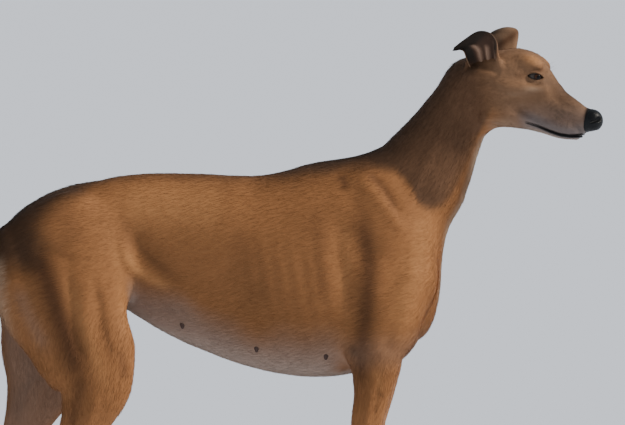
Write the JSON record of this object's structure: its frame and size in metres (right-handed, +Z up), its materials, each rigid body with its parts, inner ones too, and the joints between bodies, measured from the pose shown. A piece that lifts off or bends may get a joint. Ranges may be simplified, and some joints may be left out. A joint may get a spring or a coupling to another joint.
{
  "type": "greyhound",
  "caption": "Life-size still model of a standing greyhound bitch, neck raised and head turned slightly to her right.",
  "frame": {"origin": "on the floor, under the middle of the whole animal's length and width", "axes": "+X towards the head, +Y to her left side, +Z up"},
  "size_m": [1.0565, 0.2056, 0.9248],
  "materials": {
    "coat": "short smooth fur, fawn with a paler belly, throat and muzzle",
    "ear_coat": "very short fur over thin skin, darker towards the tips",
    "nose_leather": "black, finely pebbled and slightly moist",
    "eye": "dark brown iris under a clear wet surface",
    "claw": "dark horn, smooth and slightly worn"
  },
  "bodies": {
    "root": {"torso": "coat", "neck": "coat", "head": "coat", "nose": "nose_leather", "ear_right": "ear_coat", "ear_left": "ear_coat", "eye_right": "eye", "eye_left": "eye", "tail": "coat", "foreleg_right": "coat", "foreleg_left": "coat", "hindleg_right": "coat", "hindleg_left": "coat", "forepaw_right": "coat", "forepaw_left": "coat", "hindpaw_right": "coat", "hindpaw_left": "coat"}
  },
  "joints": []
}
